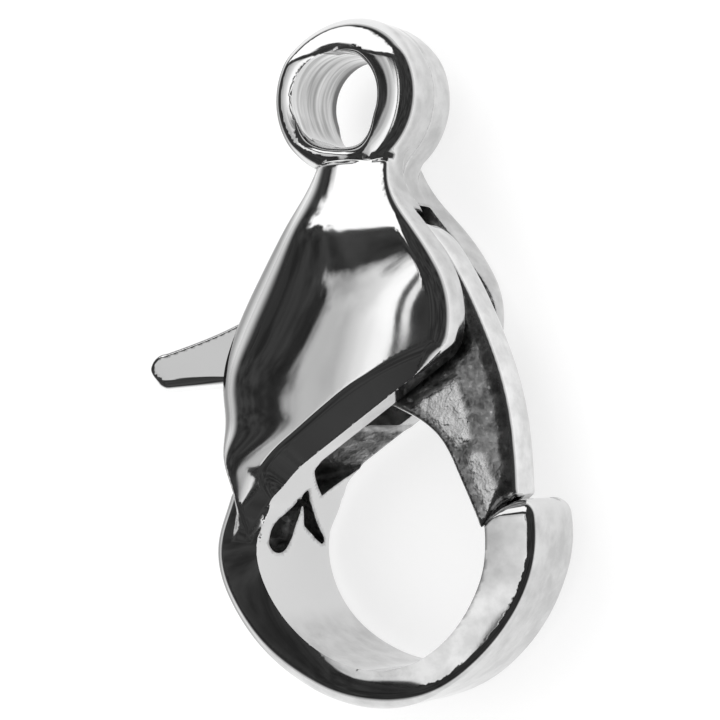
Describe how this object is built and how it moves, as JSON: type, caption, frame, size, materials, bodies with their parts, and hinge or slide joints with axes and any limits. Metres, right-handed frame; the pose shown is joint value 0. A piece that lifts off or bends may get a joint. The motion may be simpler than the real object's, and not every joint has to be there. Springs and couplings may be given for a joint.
{
  "type": "lobster clasp",
  "caption": "Small cast lobster clasp with a ring, domed cheeks, a round hook and a sprung lever whose gate closes the hook and whose thumb tab stands out at the side.",
  "frame": {"origin": "middle of the clasp's box in X and Y, at the lowest point of its back, which lies on the floor", "axes": "+Y from the hook to the ring, -X towards the thumb tab, +Z out of the front face, along the ring's hole and the rivet"},
  "size_m": [0.008, 0.012, 0.0028],
  "materials": {
    "plated_metal": "polished, silver-coloured plating",
    "cast_face": "plated over a rough cast face, polished on its outer edge",
    "rivet": "polished flush with the cheeks"
  },
  "bodies": {
    "claw": {"claw": "plated_metal", "rivet": "rivet"},
    "lever": {"lever": "cast_face"}
  },
  "joints": [
    {"name": "lever_hinge", "type": "hinge", "parent": "claw", "child": "lever", "pos_m": [0.00055, 0.00073, 0.00142], "axis": [0, 0, 1], "range_deg": [-24, 0], "stiffness_Nm_per_rad": 0.004}
  ]
}
